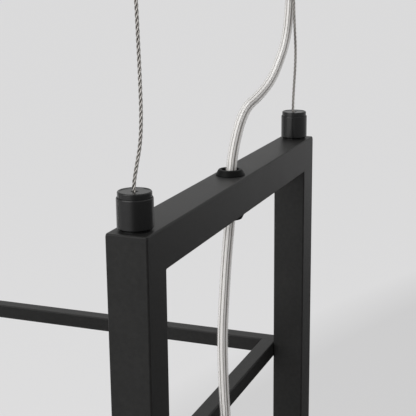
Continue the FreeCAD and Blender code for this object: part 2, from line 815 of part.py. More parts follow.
def bracket(side, x):
    """A strap with a tab turned down at each end for the cover's screws."""
    body = new_body(f"{side}_ceiling_bracket")
    reach = f"({CANOPY_LENGTH} / 2 - canopy_wall - bracket_clearance)"
    inside = f"({reach} - bracket_plate)"
    sketch = sketch_on(body, "YZ_Plane", "Profile")
    outline(
        sketch,
        [
            (f"-{reach}", "-bracket_tab"),
            (f"-{inside}", "-bracket_tab"),
            (f"-{inside}", "-bracket_plate"),
            (inside, "-bracket_plate"),
            (inside, "-bracket_tab"),
            (reach, "-bracket_tab"),
            (reach, 0),
            (f"-{reach}", 0),
        ],
    )
    strap = body.newObject("PartDesign::Pad", "Strap")
    strap.Profile = sketch
    strap.SideType = "Symmetric"
    tie(strap, "Length", "bracket_width")
    doc.recompute()
    bend = [
        f"Edge{k}"
        for k, edge in enumerate(strap.Shape.Edges, 1)
        if abs(edge.BoundBox.ZMax) < 1e-6
        and abs(edge.BoundBox.ZMin) < 1e-6
        and abs(edge.BoundBox.XLength - value("bracket_width")) < 1e-6
    ]
    round_edges(body, strap, bend, "bracket_plate", name="Bends")
    holes = sketch_on(body, "XY_Plane", "Ceiling_holes")
    for sign in ("-", ""):
        circle(holes, 0, f"{sign}ceiling_hole_spacing / 2", "ceiling_hole")
    pocket(body, holes, "3 * bracket_plate", both_ways=True, name="Ceiling_holes_cut")
    threads = sketch_on(body, "XZ_Plane", "Tab_holes")
    circle(threads, 0, "-canopy_screw_drop", "canopy_screw + 2 * fit_clearance")
    pocket(body, threads, f"2 * {CANOPY_LENGTH}", both_ways=True, name="Tab_holes_cut")
    place(body, x, 0, 0)
    return body


def mains_end():
    """The gland that grips the cord at the canopy, and the terminal block above it."""
    gland = turned(
        "cord_gland",
        [
            ("cord / 2 + gland_clearance", "-(canopy_wall + gland_height)"),
            ("gland_tip / 2", "-(canopy_wall + gland_height)"),
            ("gland / 2", "-(canopy_wall + gland_height / 2)"),
            ("gland / 2", "-canopy_wall"),
            ("gland_stem / 2", "-canopy_wall"),
            ("gland_stem / 2", "gland_stem_length - canopy_wall"),
            ("cord / 2 + gland_clearance", "gland_stem_length - canopy_wall"),
        ],
    )
    place(gland, GLAND_X, GLAND_Y, CANOPY_FLOOR)
    keep(gland, "cord_gland")
    block = new_body("terminal_block")
    sketch = sketch_on(block, "XY_Plane", "Outline")
    half_length, half_width = "terminal_length / 2", "terminal_width / 2"
    outline(
        sketch,
        [
            (f"-{half_width}", f"-{half_length}"),
            (half_width, f"-{half_length}"),
            (half_width, half_length),
            (f"-{half_width}", half_length),
        ],
    )
    solid = pad(block, sketch, "terminal_height")
    round_edges(block, solid, edges_along(solid.Shape, FreeCAD.Vector(0, 0, 1)), "terminal_round")
    ways = sketch_on(block, "YZ_Plane", "Ways")
    for step in (-1, 0, 1):
        circle(ways, f"{step} * terminal_pitch", "terminal_height / 2", "terminal_hole")
    pocket(block, ways, "2 * terminal_width", both_ways=True, name="Ways_cut")
    place(block, GLAND_X, GLAND_Y, "-(bracket_plate + terminal_height)")
    keep(block, "terminal_block")


# The cord's routes, measured from the middle of the right end frame's top face, and the spans that
# they were measured at: the gland's two offsets from that middle, and the height. They stretch with these.
UPPER_SPANS = {"gland_offset": 12.0, GLAND_Y: 104.0, f"-{FRAME_TOP}": 225.0}
LOWER_SPANS = {"gland_offset": 12.0, GLAND_Y: 104.0, "frame_height": 286.0}
CORD_UPPER = [
    (0.0, 0.0, -9.9),
    (0.0, 0.0, -5.0),
    (0.1, 0.6, 0.5),
    (0.3, 2.6, 9.5),
    (0.2, 8.5, 18.5),
    (0.1, 16.5, 27.0),
    (-0.1, 28.0, 33.0),
    (-0.3, 43.5, 35.2),
    (-0.6, 60.0, 38.3),
    (-1.0, 76.5, 43.0),
    (-2.0, 93.5, 51.3),
    (-3.0, 108.5, 60.5),
    (-4.6, 120.5, 71.5),
    (-5.4, 127.0, 88.0),
    (-6.6, 127.0, 114.0),
    (-9.5, 116.0, 145.0),
    (-12.0, 104.0, 177.0),
    (-12.0, 104.0, 211.0),
]
CORD_LOWER = [
    (0.0, 0.0, -10.1),
    (0.0, 0.0, -16.0),
    (-0.2, -0.6, -26.0),
    (-1.0, -3.6, -44.0),
    (-1.7, -6.0, -66.0),
    (-2.2, -8.3, -90.0),
    (-1.7, -8.4, -116.0),
    (-1.0, -6.4, -143.0),
    (-0.9, -4.2, -172.0),
    (-0.7, -2.2, -202.0),
    (-0.2, -0.8, -231.0),
    (0.0, 0.0, -256.0),
    (0.0, 0.0, -274.0),
]
ROUND_SHARE = 0.45


def cord_path(points):
    """Straight runs joined by the largest tangent arcs that the runs leave room for."""
    edges, radii, start = [], [], points[0]
    for before, corner, after in zip(points, points[1:], points[2:]):
        into, out = corner - before, after - corner
        turn = into.getAngle(out)
        back = ROUND_SHARE * min(into.Length, out.Length)
        if turn < 1e-4:
            continue
        radii.append(back / math.tan(turn / 2))
        enter = corner - into.normalize() * back
        leave = corner + out.normalize() * back
        to_centre = ((enter + leave) * 0.5 - corner).normalize()
        middle = corner + to_centre * (radii[-1] / math.cos(turn / 2) - radii[-1])
        edges.append(Part.LineSegment(start, enter).toShape())
        edges.append(Part.Arc(enter, middle, leave).toShape())
        start = leave
    edges.append(Part.LineSegment(start, points[-1]).toShape())
    return Part.Wire(edges), radii


def free_cord(name, route, spans):
    """One free stretch of the cord, as a tube along its route."""
    origin = FreeCAD.Vector(value(END_X), 0, value(FRAME_TOP))
    stretch = [value(expression) / measured for expression, measured in spans.items()]
    points = [origin + FreeCAD.Vector(*map(math.prod, zip(point, stretch))) for point in route]
    path, radii = cord_path(points)
    diameter = value("cord")
    first = (points[1] - points[0]).normalize()
    section = Part.Wire(Part.Circle(points[0], first, diameter / 2).toShape())
    tube = path.makePipeShell([section], True, False)
    share = tube.Volume / (path.Length * math.pi * diameter**2 / 4)
    print(f"{name}: length {path.Length:.1f}, least radius {min(radii):.1f}, volume share {share:.4f}")
    print("  radii", " ".join(f"{radius:.0f}" for radius in radii))
    item = doc.addObject("Part::Feature", "Cord_" + name)
    item.Shape = tube
    keep(item, name)


def leads():
    """The lamps' leads: along the beam's inside, with a branch up each nipple."""
    run = doc.addObject("Part::Cylinder", "Lead_run")
    tie(run, "Radius", "lead / 2")
    tie(run, "Height", f"{END_X} + (lamp_count - 1) / 2 * lamp_spacing + 2 * lead")
    level = f"{FRAME_FOOT} + tube_side / 2"
    place(run, f"{lamp_x(0)} - lead", 0, level, ALONG_X)
    pieces = [run]
    for number in LAMPS:
        branch = doc.addObject("Part::Cylinder", f"Lead_branch_{number + 1}")
        tie(branch, "Radius", "lead_branch / 2")
        tie(branch, "Height", "tube_side / 2 + cup_floor + holder_floor - nipple_sink")
        pieces.append(place(branch, lamp_x(number), 0, level))
    tail = doc.addObject("Part::Cylinder", "Lead_tail")
    tie(tail, "Radius", "cord / 2")
    tie(tail, "Height", "lead_tail + lead / 4")
    pieces.append(place(tail, END_X, 0, f"{level} - lead / 4"))
    joined = doc.addObject("Part::MultiFuse", "Leads")
    joined.Shapes = pieces
    keep(joined, "lamp_leads")


end_frame("right")
end_frame("left")
rails()
beam()
lamps()
bulbs()
bush("cord_bush_top", END_X, 0, FRAME_TOP)
bush("cord_bush_under", END_X, 0, f"{FRAME_TOP} - tube_side", (FreeCAD.Vector(1, 0, 0), 180))
bush("cord_bush_foot", END_X, 0, BEAM_TOP)
grips()
wires()
canopies()
mains_end()
free_cord("cord_upper", CORD_UPPER, UPPER_SPANS)
free_cord("cord_lower", CORD_LOWER, LOWER_SPANS)
leads()
doc.recompute()

for item in doc.Objects:
    if {"Invalid", "Error"} & set(item.State):
        raise ValueError(f"{item.Name} ({item.Label}) did not build: {item.State}")
for item in kept:
    if item.Shape.isNull() or not item.Shape.isValid() or not item.Shape.Solids:
        raise ValueError(f"{item.Label} has no valid solid")
os.makedirs("parts", exist_ok=True)
for item in kept:
    item.Shape.exportStep(os.path.join("parts", item.Label + ".step"))
print(len(kept), "nodes")
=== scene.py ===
# %% [markdown]
# # A linear island pendant
# A long frame of black square tube hangs on four twisted steel wires. A push-button grip on each
# corner holds its wire, and a clear cord comes down through one end of the frame. The
# construction is loaded as a fixed frame, and this lesson gives it its looks.

# %% Load the construction
import math

import bpy
from mathutils import Matrix, Vector


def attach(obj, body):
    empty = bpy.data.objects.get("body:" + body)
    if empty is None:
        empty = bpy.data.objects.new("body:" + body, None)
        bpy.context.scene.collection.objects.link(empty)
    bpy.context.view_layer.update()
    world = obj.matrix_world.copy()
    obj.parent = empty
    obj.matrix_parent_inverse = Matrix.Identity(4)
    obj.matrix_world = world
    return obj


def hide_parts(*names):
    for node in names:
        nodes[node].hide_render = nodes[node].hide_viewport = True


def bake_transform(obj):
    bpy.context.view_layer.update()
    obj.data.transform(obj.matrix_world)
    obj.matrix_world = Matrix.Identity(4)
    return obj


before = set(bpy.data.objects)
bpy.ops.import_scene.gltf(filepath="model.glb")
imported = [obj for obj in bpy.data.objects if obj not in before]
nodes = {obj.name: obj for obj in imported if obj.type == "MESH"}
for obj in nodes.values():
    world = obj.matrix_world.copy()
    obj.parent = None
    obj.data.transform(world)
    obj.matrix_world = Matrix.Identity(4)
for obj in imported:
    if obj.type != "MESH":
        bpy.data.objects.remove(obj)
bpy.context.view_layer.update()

# %% [markdown]
# ## The camera
# The picture was taken with a long lens a little above the frame's top, from the front right. Its
# place, turn and lens were fitted to the straight edges in the photo. A camera looks along its
# own -Z axis with +Y up, so its matrix is built from the direction it looks in, the direction
# that is right in the picture, and the slight roll of the hand.

# %% Place the camera
EYE = Vector((0.77496, -0.50844, -0.10983))
TURN, DIP, ROLL = math.radians(21.279), math.radians(13.860), math.radians(0.611)
LENS = 88.94
NEAREST = 0.01

ahead = Vector((-math.sin(TURN) * math.cos(DIP), math.cos(TURN) * math.cos(DIP), -math.sin(DIP)))
level = Vector((math.cos(TURN), math.sin(TURN), 0))
below = ahead.cross(level)
right = level * math.cos(ROLL) + below * math.sin(ROLL)
down = below * math.cos(ROLL) - level * math.sin(ROLL)
camera = bpy.data.objects.new("Camera", bpy.data.cameras.new("Camera"))
bpy.context.scene.collection.objects.link(camera)
camera.data.lens = LENS
camera.data.clip_start = NEAREST
turned = Matrix((right, -down, -ahead)).transposed().to_4x4()
camera.matrix_world = Matrix.Translation(EYE) @ turned
bpy.context.scene.camera = camera
print("camera at", tuple(round(v, 3) for v in EYE))

# %% [markdown]
# ## What lies along a path
# A cord and a wire are both round strands that follow one smooth line. The line is a NURBS spline
# that a few given points pull into shape, and Blender turns it into closely spaced points.
# A strand is then a small tube laid round that line: alone in the middle for a sheath, or wound
# round it for a twist.

# %% Points along a smooth route
MM = 0.001
END = Vector((0.590, 0, -0.225))  # the middle of the right end frame's top face
SPLINE_ORDER = 3
STEPS_PER_SPAN = 24
NOTHING_LEFT = 1e-9


def smooth_route(route):
    """The points of the smooth spline that a route's points control."""
    curve = bpy.data.curves.new("route", "CURVE")
    curve.dimensions = "3D"
    spline = curve.splines.new("NURBS")
    spline.points.add(len(route) - 1)
    for point, place in zip(spline.points, route):
        point.co = (*place, 1)
    spline.order_u = SPLINE_ORDER
    spline.use_endpoint_u = True
    spline.resolution_u = STEPS_PER_SPAN
    line = bpy.data.objects.new("route", curve)
    mesh = bpy.data.meshes.new_from_object(line)
    points = [vertex.co.copy() for vertex in mesh.vertices]
    bpy.data.objects.remove(line)
    return points


def length_of(points):
    return sum((b - a).length for a, b in zip(points, points[1:]))


def even_steps(points, step):
    """The same line, with its points one step apart."""
    spaced, carried = [points[0]], 0.0
    for a, b in zip(points, points[1:]):
        run = (b - a).length
        while run > NOTHING_LEFT and carried + run >= step:
            share = (step - carried) / run
            a = a.lerp(b, share)
            run = (b - a).length
            carried = 0.0
            spaced.append(a)
        carried += run
    return spaced


print("helpers for routes: smooth_route, length_of, even_steps")


# %% Strands round a path
def rings_along(path):
    """Each point of a path, two directions across it, and the length so far.

    The first direction faces the photo's camera, so the cord's cores lie to it as in the photo.
    """
    rings, gone = [], 0.0
    for k, here in enumerate(path):
        along = (path[min(k + 1, len(path) - 1)] - path[max(k - 1, 0)]).normalized()
        across = (EYE - here) - along * (EYE - here).dot(along)
        across.normalize()
        gone += (here - path[k - 1]).length if k else 0.0
        rings.append((here, across, along.cross(across), gone))
    return rings


def strands(name, path, thick, sides, count=1, out=0.0, pitch=0.1):
    """Strands wound round a path, as one mesh with a UV map: round, and along in metres."""
    points, faces, places = [], [], []
    rings = rings_along(path)
    for strand in range(count):
        start = len(points)
        for here, across, beside, gone in rings:
            wind = 2 * math.pi * (strand / count + gone / pitch)
            middle = here + (across * math.cos(wind) + beside * math.sin(wind)) * out
            for side in range(sides):
                angle = 2 * math.pi * side / sides + wind
                offset = across * math.cos(angle) + beside * math.sin(angle)
                points.append(middle + offset * thick / 2)
                places.append((side / sides, gone))
        for ring in range(len(rings) - 1):
            for side in range(sides):
                a, b = start + ring * sides + side, start + ring * sides + (side + 1) % sides
                faces.append((a, b, b + sides, a + sides))
        last = start + (len(rings) - 1) * sides
        faces.append(tuple(range(start + sides - 1, start - 1, -1)))
        faces.append(tuple(range(last, last + sides)))
    mesh = bpy.data.meshes.new(name)
    mesh.from_pydata(points, [], faces)
    layer = mesh.uv_layers.new(name="UVMap")
    for loop in mesh.loops:
        layer.data[loop.index].uv = places[loop.vertex_index]
    mesh.shade_smooth()
    item = bpy.data.objects.new(name, mesh)
    bpy.context.scene.collection.objects.link(item)
    return item


print("helpers for strands: rings_along, strands")

# %% [markdown]
# ## The clear cord
# The cord is a clear PVC sheath over three pale cores. It leaves the canopy at its gland, hangs
# past the far wire, bends over the frame's top bar and goes down through the bushes to the lamps'
# leads. Its route is the construction's own, and the sheath and the cores follow the same spline.
# The photo shows one core in front and no twist to speak of, so the cores turn only once in 9 m.

# %% The cord's two stretches
CORD = 6.0 * MM
CORE = 2.60 * MM
CORE_OUT = 1.50 * MM
CORE_PITCH = 9.0  # metres
CORES = 3
SHEATH_SIDES, CORE_SIDES = 24, 12
CORD_STEP = 1.5 * MM

# Both routes are in mm from END: the upper one runs up to the canopy, the lower one to the foot.
UPPER = [
    (0.0, 0.0, -9.9),
    (0.0, 0.0, -5.0),
    (0.1, 0.6, 0.5),
    (0.3, 2.6, 9.5),
    (0.2, 8.5, 18.5),
    (0.1, 16.5, 27.0),
    (-0.1, 28.0, 33.0),
    (-0.3, 43.5, 35.2),
    (-0.6, 60.0, 38.3),
    (-1.0, 76.5, 43.0),
    (-2.0, 93.5, 51.3),
    (-3.0, 108.5, 60.5),
    (-4.6, 120.5, 71.5),
    (-5.4, 127.0, 88.0),
    (-6.6, 127.0, 114.0),
    (-9.5, 116.0, 145.0),
    (-12.0, 104.0, 177.0),
    (-12.0, 104.0, 211.0),
]
LOWER = [
    (0.0, 0.0, -10.1),
    (0.0, 0.0, -16.0),
    (-0.2, -0.6, -26.0),
    (-1.0, -3.6, -44.0),
    (-1.7, -6.0, -66.0),
    (-2.2, -8.3, -90.0),
    (-1.7, -8.4, -116.0),
    (-1.0, -6.4, -143.0),
    (-0.9, -4.2, -172.0),
    (-0.7, -2.2, -202.0),
    (-0.2, -0.8, -231.0),
    (0.0, 0.0, -256.0),
    (0.0, 0.0, -274.0),
]


def clear_cord(node, route):
    """A sheath and its cores in place of one stretch of the cord, on a path from its top down."""
    path = smooth_route([END + Vector(point) * MM for point in route])
    if path[0].z < path[-1].z:
        path.reverse()
    steps = even_steps(path, CORD_STEP)
    sheath = strands(f"{node}_sheath", steps, CORD, SHEATH_SIDES)
    cores = strands(
        f"{node}_cores", steps, CORE, CORE_SIDES, count=CORES, out=CORE_OUT, pitch=CORE_PITCH,
    )
    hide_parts(node)
    print(f"{node}: {length_of(path) * 1000:.1f} mm")
    return sheath, cores, path


upper_sheath, upper_cores, upper_path = clear_cord("cord_upper", UPPER)
lower_sheath, lower_cores, _ = clear_cord("cord_lower", LOWER)
for piece in (upper_sheath, upper_cores):
    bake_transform(piece)
for piece in (lower_sheath, lower_cores):
    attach(piece, "frame")

# %% [markdown]
# ## The wires
# Each wire is three bright strands laid round each other, so that they cross every 2.6 mm. The
# near right one bows by 4 mm between its grip and the ceiling and the others by less, so each has
# a spline of its own.

# %% Four twisted wires
STRAND = 0.82 * MM
STRAND_OUT = 0.46 * MM
STRAND_PITCH = 7.8 * MM
STRANDS, STRAND_SIDES = 3, 8
WIRE_STEP = 0.45 * MM

# Heights in mm over the frame's top: a wire's two ends, and the points that keep them upright.
WIRE_FOOT, WIRE_HEAD = -20.0, 202.5
FOOT_GUIDE, HEAD_GUIDE = -8, WIRE_HEAD - 12

# How far each wire leans along X, in mm, and at which height.
BOW = {
    "right_front": [
        (0, 8), (-0.5, 19), (1.2, 28), (3.4, 38), (4.1, 50),
        (3.9, 66), (3.5, 82), (3.1, 98), (1.2, 140), (0, 170),
    ],
    "right_rear": [
        (0, 8), (-0.9, 18), (-0.5, 30), (0.4, 44), (0.6, 56),
        (0, 68), (-0.8, 82), (-0.9, 98), (-0.3, 140), (0, 170),
    ],
    "left_front": [(0, 8), (-0.4, 24), (-1.6, 50), (-1.2, 90), (0, 130), (0, 170)],
    "left_rear": [(0, 8), (0.3, 24), (1.1, 50), (0.9, 90), (0, 130), (0, 170)],
}
SIDE = {"right": 1, "left": -1}
DEPTH = {"front": -1, "rear": 1}
POST_Y = 0.120  # a post's middle, in metres from the end frame's own middle
CORNERS = [f"{side}_{depth}" for side in SIDE for depth in DEPTH]


def corner_of(tag):
    """The middle of the end frame's top face over one post."""
    side, depth = tag.split("_")
    return Vector((SIDE[side] * END.x, DEPTH[depth] * POST_Y, END.z))


wires = {}
for tag, bow in BOW.items():
    bends = [(0, WIRE_FOOT), (0, FOOT_GUIDE), *bow, (0, HEAD_GUIDE), (0, WIRE_HEAD)]
    path = smooth_route([corner_of(tag) + Vector((x, 0, z)) * MM for x, z in reversed(bends)])
    wire = strands(
        f"twisted_wire_{tag}", even_steps(path, WIRE_STEP), STRAND, STRAND_SIDES,
        count=STRANDS, out=STRAND_OUT, pitch=STRAND_PITCH,
    )
    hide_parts(f"suspension_wire_{tag}")
    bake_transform(wire)
    wires[tag] = wire
    print(f"{wire.name}: {length_of(path) * 1000:.1f} mm, {len(wire.data.polygons)} faces")

# %% [markdown]
# ## Helpers for solid pieces
# Solid pieces start as a primitive and are shaped in edit mode, as by hand. Faces and edges are
# selected in code by where they are. Afterwards the place goes into the mesh, and a bevel gives
# every corner the small radius that catches the light.

# %% Select, settle and bevel
SMOOTH_BELOW = math.radians(35)
BEVEL_ABOVE = math.radians(25)
SAME_PLACE = 1e-6


def start_fresh():
    """Leaves edit mode and deselects all, because an operator acts on what is selected."""
    if bpy.context.object and bpy.context.object.mode != "OBJECT":
        bpy.ops.object.mode_set(mode="OBJECT")
    bpy.ops.object.select_all(action="DESELECT")


def pick(item, kind, wanted):
    """Selects the faces or edges of a piece that a test wants, and leaves it in edit mode."""
    bpy.ops.object.mode_set(mode="EDIT")
    bpy.ops.mesh.select_mode(type="FACE" if kind == "polygons" else "EDGE")
    bpy.ops.mesh.select_all(action="DESELECT")
    bpy.ops.object.mode_set(mode="OBJECT")
    for element in getattr(item.data, kind):
        element.select = wanted(element)
    bpy.ops.object.mode_set(mode="EDIT")


def settle(item):
    """Puts a piece's place, turn and size into its mesh."""
    bpy.ops.object.mode_set(mode="OBJECT")
    bpy.ops.object.transform_apply(location=True, rotation=True, scale=True)
    return item


def modify(item, kind, **settings):
    """Adds a modifier, sets it and applies it."""
    modifier = item.modifiers.new(kind.title(), kind)
    for name, value in settings.items():
        setattr(modifier, name, value)
    bpy.context.view_layer.objects.active = item
    bpy.ops.object.modifier_apply(modifier=modifier.name)


def smooth(item):
    """Smooth shading over gentle edges, with the large faces kept flat."""
    start_fresh()
    item.select_set(True)
    bpy.context.view_layer.objects.active = item
    bpy.ops.object.shade_smooth_by_angle(angle=SMOOTH_BELOW)
    modify(item, "WEIGHTED_NORMAL", keep_sharp=True)
    return item


def lathe(name, place, outline, edge=0.0, sides=64, solid=False):
    """A turned piece: a ring pulled and scaled along an outline of radius and height in mm."""
    start_fresh()
    (radius, height), loop = outline[0], outline[1:] if solid else outline[1:] + outline[:1]
    bpy.ops.mesh.primitive_circle_add(
        vertices=sides, radius=radius * MM, location=place + Vector((0, 0, height * MM)),
        fill_type="NGON" if solid else "NOTHING",
    )
    item = bpy.context.object
    item.name = item.data.name = name
    bpy.ops.object.mode_set(mode="EDIT")
    bpy.ops.mesh.select_all(action="SELECT")
    for following, above in loop:
        rise = (0, 0, (above - height) * MM)
        bpy.ops.mesh.extrude_region_move(TRANSFORM_OT_translate={"value": rise})
        bpy.ops.transform.resize(value=(following / radius, following / radius, 1))
        radius, height = following, above
    bpy.ops.mesh.select_all(action="SELECT")
    bpy.ops.mesh.remove_doubles(threshold=SAME_PLACE)
    bpy.ops.mesh.normals_make_consistent(inside=False)
    settle(item)
    if edge:
        modify(
            item, "BEVEL", width=edge * MM, segments=3,
            limit_method="ANGLE", angle_limit=BEVEL_ABOVE,
        )
    return smooth(item)


print("helpers for solid pieces: start_fresh, pick, settle, modify, smooth, lathe")

# %% [markdown]
# ## The end frames
# Each end is four lengths of 20 mm square tube. The photo shows no seam where they meet, so they
# are drawn as mitred, welded, ground and powder coated all over. That makes an end one closed
# ring: a box whose two big faces are inset by the tube's width and bridged, with its long edges
# rounded by just under 1 mm. The inner corners stay sharp, where two tubes meet.

# %% Two seamless end frames
TUBE = 20 * MM
FRAME_WIDE, FRAME_TALL = 260 * MM, 286 * MM
TUBE_ROUND = 0.9 * MM
BUSH_HOLE = 11.9 * MM
BUSH_HOLE_SIDES = 48
MIDDLE = END.z - FRAME_TALL / 2
IN_LINE = 0.9  # the cosine over which a face or an edge counts as in line with the X axis


def is_inner_corner(edge, item):
    a, b = (item.data.vertices[k].co for k in edge.vertices)
    across = abs((a - b).normalized().x) > IN_LINE
    inside = max(abs(a.y), abs(b.y)) < FRAME_WIDE / 2 - TUBE / 2
    within = abs(abs(a.z - MIDDLE) - FRAME_TALL / 2) > TUBE / 2
    return across and inside and within


def end_frame(side):
    start_fresh()
    bpy.ops.mesh.primitive_cube_add(
        size=1, location=(SIDE[side] * END.x, 0, MIDDLE), scale=(TUBE, FRAME_WIDE, FRAME_TALL)
    )
    item = bpy.context.object
    item.name = item.data.name = f"{side}_end_frame"
    settle(item)
    pick(item, "polygons", lambda face: abs(face.normal.x) > IN_LINE)
    bpy.ops.mesh.inset(thickness=TUBE, use_individual=True)
    bpy.ops.mesh.bridge_edge_loops()
    bpy.ops.object.mode_set(mode="OBJECT")
    pick(item, "edges", lambda edge: not is_inner_corner(edge, item))
    bpy.ops.mesh.bevel(offset=TUBE_ROUND, segments=5, affect="EDGES")
    bpy.ops.object.mode_set(mode="OBJECT")
    return item


def drill(item, place, depth):
    """An upright round hole through part of a piece."""
    start_fresh()
    bpy.ops.mesh.primitive_cylinder_add(
        vertices=BUSH_HOLE_SIDES, radius=BUSH_HOLE / 2, depth=depth, location=place,
    )
    drill_bit = bpy.context.object
    modify(item, "BOOLEAN", object=drill_bit, operation="DIFFERENCE", solver="EXACT")
    bpy.data.objects.remove(drill_bit)


FRAME_PARTS = ("post_front", "post_rear", "top_bar", "bottom_bar")
end_frames = {}
for side in SIDE:
    piece = end_frame(side)
    if side == "right":
        # The cord goes right through the top bar, and through the upper wall of the bottom bar.
        drill(piece, (END.x, 0, END.z - TUBE / 2), 1.5 * TUBE)
        drill(piece, (END.x, 0, END.z - FRAME_TALL + 0.75 * TUBE), TUBE)
    smooth(piece)
    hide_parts(*(f"{side}_{part}" for part in FRAME_PARTS))
    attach(piece, "frame")
    end_frames[side] = piece
    print(piece.name, len(piece.data.polygons), "faces")

# %% [markdown]
# ## The bushes
# A soft black bush lines each hole that the cord goes through: a cone-shaped crown with a rolled
# rim outside, and a lip that snaps in behind the tube's wall. All three are turned from one
# outline. The one under the top bar has it upside down, and its crown stands 1.3 times as far
# out.

# %% Three cord bushes
BUSH_EDGE = 0.45
# Radius and height in mm, from the lip in the hole to the crown outside.
BUSH = [
    (4.6, -3.3), (6.3, -3.3), (6.9, -1.5), (5.9, -1.5), (5.9, 0.0),
    (7.9, 0.0), (7.9, 0.4), (6.3, 3.1), (5.1, 3.3), (4.6, 2.9),
]
# Where each bush sits, which way up it is, and how tall its crown is against the outline's.
BUSH_PLACES = {
    "cord_bush_top": (END, 1, 1.0),
    "cord_bush_under": (END - Vector((0, 0, TUBE)), -1, 1.3),
    "cord_bush_foot": (END - Vector((0, 0, FRAME_TALL - TUBE)), 1, 1.0),
}
bushes = []
for node, (place, way, crown) in BUSH_PLACES.items():
    outline = [(r, way * z * (crown if z > 0 else 1)) for r, z in BUSH]
    piece = lathe(f"{node}_moulded", place, outline, edge=BUSH_EDGE)
    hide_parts(node)
    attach(piece, "frame")
    bushes.append(piece)
print(len(bushes), "bushes")

# %% [markdown]
# ## The wire grips
# A grip is a turned barrel with a button on top: pressing the button frees three balls that bite
# the wire. Both keep the construction's bores, so the cage still runs inside, and get the fine
# chamfers and the dished button top that the light picks out. They follow the photo's sizes, 16.3
# mm across and 17.3 mm tall. The spring under the cage is the construction's own coil.

# %% Barrels, buttons and springs
# Radius and height in mm over the frame's top: up the outside and down the bore.
BARREL = [
    (1.1, -8.0), (3.9, -8.0), (3.9, 0.6), (7.4, 0.6), (8.15, 1.35), (8.15, 14.2),
    (7.95, 14.6), (7.8, 14.6), (7.8, 12.7), (5.08, 12.7), (5.08, 10.8), (2.48, 10.8),
    (2.48, 9.0), (2.9, 9.0), (4.0, 5.0), (2.7, 0.0), (2.7, -2.0), (1.1, -2.0),
]
BUTTON = [
    (1.1, 5.0), (3.1, 5.0), (3.1, 5.8), (2.4, 5.8), (2.4, 12.0), (5.0, 12.0), (5.0, 13.9),
    (7.6, 13.9), (7.6, 16.9), (7.3, 17.3), (6.85, 17.3), (6.5, 17.0), (1.7, 17.0), (1.1, 16.3),
]
BARREL_EDGE, BUTTON_EDGE = 0.16, 0.14


def spring_coil(tag):
    """A copy of the construction's spring."""
    spring_node = nodes[f"grip_spring_{tag}"]
    coil = bpy.data.objects.new(f"grip_coil_{tag}", spring_node.data.copy())
    bpy.context.scene.collection.objects.link(coil)
    coil.data.transform(spring_node.matrix_world)
    heights = [vertex.co.z for vertex in coil.data.vertices]
    foot, head = corner_of(tag), corner_of(tag)
    foot.z, head.z = min(heights), max(heights)
    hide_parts(spring_node.name)
    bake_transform(coil)
    return coil


barrels, buttons, coils = [], [], []
for tag in CORNERS:
    coils.append(spring_coil(tag))
    barrel = lathe(f"grip_barrel_{tag}", corner_of(tag), BARREL, edge=BARREL_EDGE)
    button = lathe(f"grip_button_{tag}", corner_of(tag), BUTTON, edge=BUTTON_EDGE)
    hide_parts(f"grip_body_{tag}")
    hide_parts(f"grip_plunger_{tag}")
    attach(barrel, "frame")
    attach(button, f"plunger_{tag}")
    barrels.append(barrel)
    buttons.append(button)
print(len(barrels), "barrels,", len(buttons), "buttons and", len(coils), "springs")

# %% [markdown]
# ## The lamps' filaments
# The photo doesn't show the bulbs. They are clear ones with a squirrel-cage filament: a glass
# stem with a few bright hooks, and a fine wire that runs up and down between them. The same stem,
# hooks and wire are made at each bulb's foot, each with a mesh of its own.

# %% Stems and filaments
LAMP_X = (-0.360, -0.120, 0.120, 0.360)
BULB_FOOT = -0.4575
HOOKS = 9

# Radius and height in mm over the bulb's foot.
LOW_HOOKS, HIGH_HOOKS = (10.5, 24.0), (8.0, 76.0)
COLLAR = (3.3, 14.0)
STEM = [
    (7.0, 0.5), (6.4, 3.0), (3.2, 16.0), (2.0, 22.0),
    (1.6, 60.0), (2.2, 66.0), (1.4, 70.0), (0.5, 71.0),
]
STEM_SIDES = 24

# The heights at which the hooks leave the stem, and how thick the wires are, in mm.
LOW_ROOT, HIGH_ROOT = 21, 68
FILAMENT, HOOK_WIRE = 0.35, 0.4
RING_STEPS = 24


def filament_points():
    """Up and down round the stem, between two rings of hooks."""
    points = []
    for hook in range(2 * HOOKS + 1):
        angle = 2 * math.pi * hook / (2 * HOOKS + 1)
        ring, height = LOW_HOOKS if hook % 2 else HIGH_HOOKS
        points.append(Vector((ring * math.cos(angle), ring * math.sin(angle), height)))
    return points


def bent_wire(name, lines, thick, place):
    """Thin wires along straight lines, as one mesh."""
    curve = bpy.data.curves.new(name, "CURVE")
    curve.dimensions = "3D"
    curve.bevel_depth = thick / 2 * MM
    curve.bevel_resolution = 1
    curve.use_fill_caps = True
    for line in lines:
        spline = curve.splines.new("POLY")
        spline.points.add(len(line) - 1)
        for point, spot in zip(spline.points, line):
            point.co = (*(place + spot * MM), 1)
    start_fresh()
    item = bpy.data.objects.new(name, curve)
    bpy.context.scene.collection.objects.link(item)
    item.select_set(True)
    bpy.context.view_layer.objects.active = item
    bpy.ops.object.convert(target="MESH")
    return bpy.context.object


def ring_line(ring, height):
    turns = (2 * math.pi * k / RING_STEPS for k in range(RING_STEPS + 1))
    return [Vector((ring * math.cos(a), ring * math.sin(a), height)) for a in turns]


